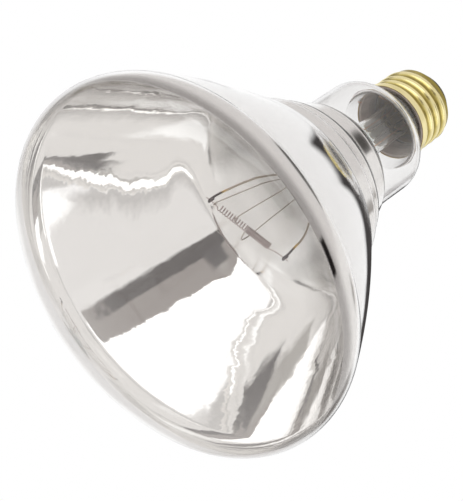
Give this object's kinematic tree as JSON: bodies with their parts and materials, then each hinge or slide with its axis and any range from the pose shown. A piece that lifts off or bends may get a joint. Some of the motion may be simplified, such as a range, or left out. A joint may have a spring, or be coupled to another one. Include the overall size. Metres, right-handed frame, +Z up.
{
  "type": "reflector bulb",
  "caption": "Clear-faced reflector bulb: domed front, silvered cone and stepped neck, coiled filament on a glass stem, threaded screw base.",
  "frame": {"origin": "tip of the domed face, the lowest point, on the bulb's axis", "axes": "+Z up the axis from the face to the screw base's contact; +X along the filament; +Y across it"},
  "size_m": [0.127, 0.127, 0.1625],
  "materials": {
    "clear_glass": "polished",
    "silver_film": "mirror",
    "stem_glass": "fire polished",
    "lead_metal": "drawn wire with heat tint",
    "copper_wire": "drawn wire",
    "support_metal": "drawn wire",
    "filament_metal": "dull",
    "shell_brass": "bright rolled",
    "insulator_glass": "glossy",
    "base_cement": "matt",
    "contact_brass": "pressed",
    "solder": "satin"
  },
  "bodies": {
    "root": {"bulb_glass": "clear_glass", "reflector_film": "silver_film", "stem_glass": "stem_glass", "exhaust_tube": "stem_glass", "support_rod": "stem_glass", "lead_wire_left": "lead_metal", "lead_wire_right": "lead_metal", "seal_wire_left": "copper_wire", "seal_wire_right": "copper_wire", "outer_lead_centre": "copper_wire", "outer_lead_side": "copper_wire", "support_wire_left": "support_metal", "support_wire_middle": "support_metal", "support_wire_right": "support_metal", "filament": "filament_metal", "base_shell": "shell_brass", "base_cement": "base_cement", "base_insulator": "insulator_glass", "centre_contact": "contact_brass", "centre_solder": "solder", "side_solder": "solder"}
  },
  "joints": []
}
